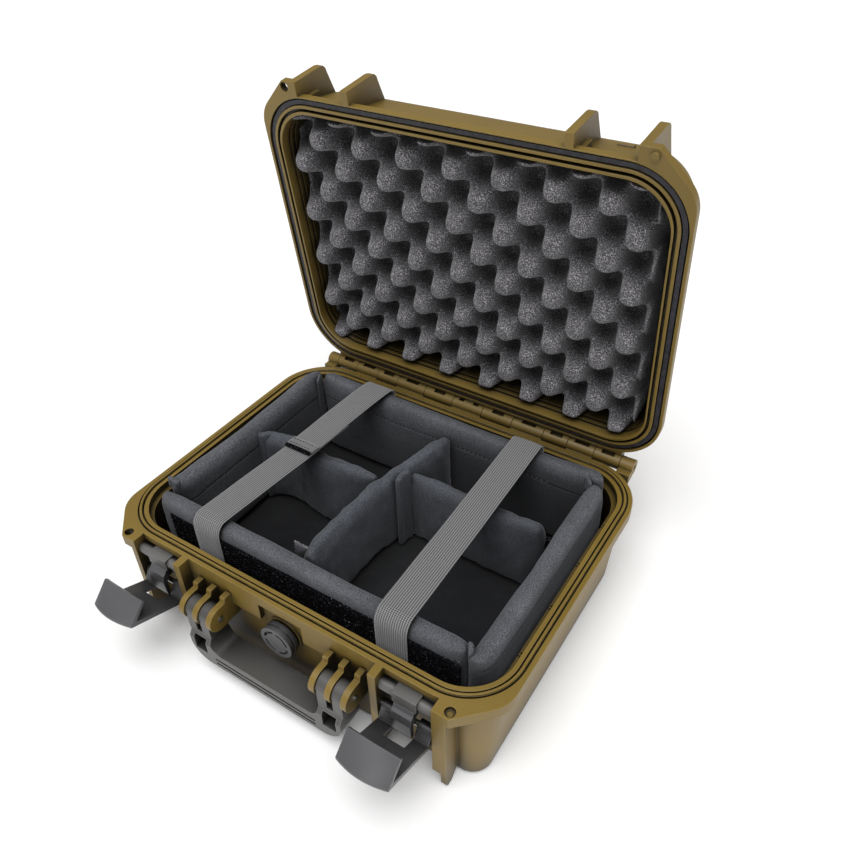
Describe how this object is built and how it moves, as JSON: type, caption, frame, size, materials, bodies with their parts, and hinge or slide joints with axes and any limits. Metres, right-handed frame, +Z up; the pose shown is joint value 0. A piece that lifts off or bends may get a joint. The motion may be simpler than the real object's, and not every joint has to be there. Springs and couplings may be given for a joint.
{
  "type": "hard equipment case",
  "caption": "Moulded hard case standing open: hinged lid with foam, two latches, swinging handle, purge valve and a padded insert with dividers.",
  "frame": {"origin": "middle of the base's flat underside, half way across its width", "axes": "+Z up, -Y towards the latches and handle, +X to the right seen from the front"},
  "size_m": [0.336, 0.3701, 0.3514],
  "materials": {
    "shell_plastic": "fine-textured moulded polypropylene",
    "dark_plastic": "satin glass-filled nylon",
    "grey_plastic": "satin glass-filled nylon",
    "rubber_seal": "matt",
    "foam": "open-cell foam",
    "liner_fabric": "brushed woven",
    "loop_pile": "looped pile",
    "webbing": "ribbed elastic webbing",
    "steel_pin": "drawn"
  },
  "bodies": {
    "base": {"base_shell": "shell_plastic", "catch_bar_left": "grey_plastic", "catch_bar_right": "grey_plastic", "catch_clip_left": "dark_plastic", "catch_clip_right": "dark_plastic", "handle_pin_left": "steel_pin", "handle_pin_right": "steel_pin", "hinge_pin_left": "steel_pin", "hinge_pin_right": "steel_pin", "latch_pin_left": "steel_pin", "latch_pin_right": "steel_pin", "left_divider": "liner_fabric", "liner_back_wall": "liner_fabric", "liner_floor_pad": "liner_fabric", "liner_front_wall": "liner_fabric", "liner_left_wall": "liner_fabric", "liner_right_wall": "liner_fabric", "loop_strip": "loop_pile", "main_divider": "liner_fabric", "right_divider": "liner_fabric", "strap_left_back": "webbing", "strap_left_front": "webbing", "strap_right": "webbing", "valve_nut": "dark_plastic", "valve_seal": "rubber_seal"},
    "lid": {"lid_shell": "shell_plastic", "lid_gasket": "rubber_seal", "lid_foam": "foam"},
    "handle": {"carry_handle": "grey_plastic"},
    "latch_left": {"latch_lever_left": "dark_plastic"},
    "latch_right": {"latch_lever_right": "dark_plastic"},
    "valve": {"valve_knob": "dark_plastic"}
  },
  "joints": [
    {"name": "lid_hinge", "type": "hinge", "parent": "base", "child": "lid", "pos_m": [0, 0.135, 0.084], "axis": [1, 0, 0], "range_deg": [0, 82.7], "deforming": ["lid_foam"]},
    {"name": "latch_left_pivot", "type": "hinge", "parent": "base", "child": "latch_left", "pos_m": [-0.1087, -0.1255, 0.0498], "axis": [-1, 0, 0], "range_deg": [0, 66]},
    {"name": "latch_right_pivot", "type": "hinge", "parent": "base", "child": "latch_right", "pos_m": [0.1087, -0.1255, 0.0498], "axis": [-1, 0, 0], "range_deg": [0, 66]},
    {"name": "handle_swing", "type": "hinge", "parent": "base", "child": "handle", "pos_m": [0, -0.136, 0.057], "axis": [-1, 0, 0], "range_deg": [-8, 100]},
    {"name": "valve_turn", "type": "hinge", "parent": "base", "child": "valve", "pos_m": [0.001, -0.125, 0.0535], "axis": [0, -1, 0], "range_deg": [0, 270]}
  ]
}
